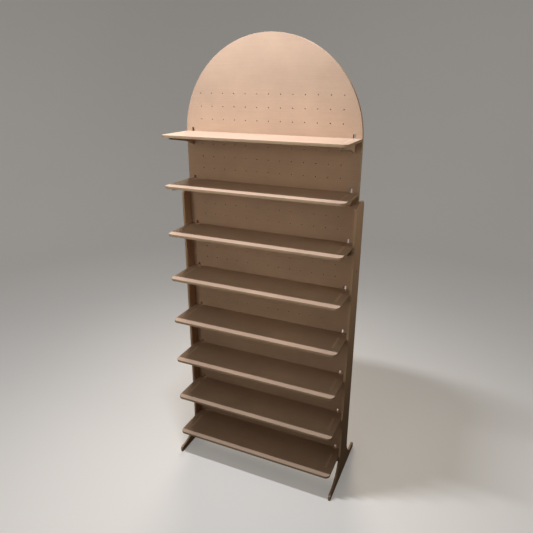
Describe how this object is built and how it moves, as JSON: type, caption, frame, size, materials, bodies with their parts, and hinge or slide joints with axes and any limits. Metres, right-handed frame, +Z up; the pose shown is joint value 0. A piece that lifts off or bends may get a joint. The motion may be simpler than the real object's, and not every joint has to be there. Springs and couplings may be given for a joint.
{
  "type": "display stand",
  "caption": "Tall cardboard display stand: arched back panel with peg holes, shelves on hooked brackets, and side posts with flared feet.",
  "frame": {"origin": "on the floor, at the middle of the stand's bounding box in plan", "axes": "+X to the right along the shelves as seen from the open front, the open front faces -Y, +Z up"},
  "size_m": [0.77, 0.393, 1.8988],
  "materials": {
    "panel_board": "matte kraft paper face of a rigid cardboard panel",
    "post_board": "matte kraft paper face of a rigid cardboard board",
    "shelf_board": "matte kraft paper with a fine grain along the shelf",
    "bracket_board": "matte kraft board with a cut edge",
    "dowel_wood": "plain turned wood",
    "screw_steel": "dark oxide, satin"
  },
  "bodies": {
    "root": {"arched_back_panel": "panel_board", "left_post": "post_board", "right_post": "post_board", "shelf_1": "shelf_board", "shelf_2": "shelf_board", "shelf_3": "shelf_board", "shelf_4": "shelf_board", "shelf_5": "shelf_board", "shelf_6": "shelf_board", "shelf_7": "shelf_board", "shelf_8": "shelf_board", "left_bracket_1": "bracket_board", "right_bracket_1": "bracket_board", "left_bracket_2": "bracket_board", "right_bracket_2": "bracket_board", "left_bracket_3": "bracket_board", "right_bracket_3": "bracket_board", "left_bracket_4": "bracket_board", "right_bracket_4": "bracket_board", "left_bracket_5": "bracket_board", "right_bracket_5": "bracket_board", "left_bracket_6": "bracket_board", "right_bracket_6": "bracket_board", "left_bracket_7": "bracket_board", "right_bracket_7": "bracket_board", "left_bracket_8": "bracket_board", "right_bracket_8": "bracket_board", "joining_dowels": "dowel_wood", "side_screws": "screw_steel"}
  },
  "joints": []
}
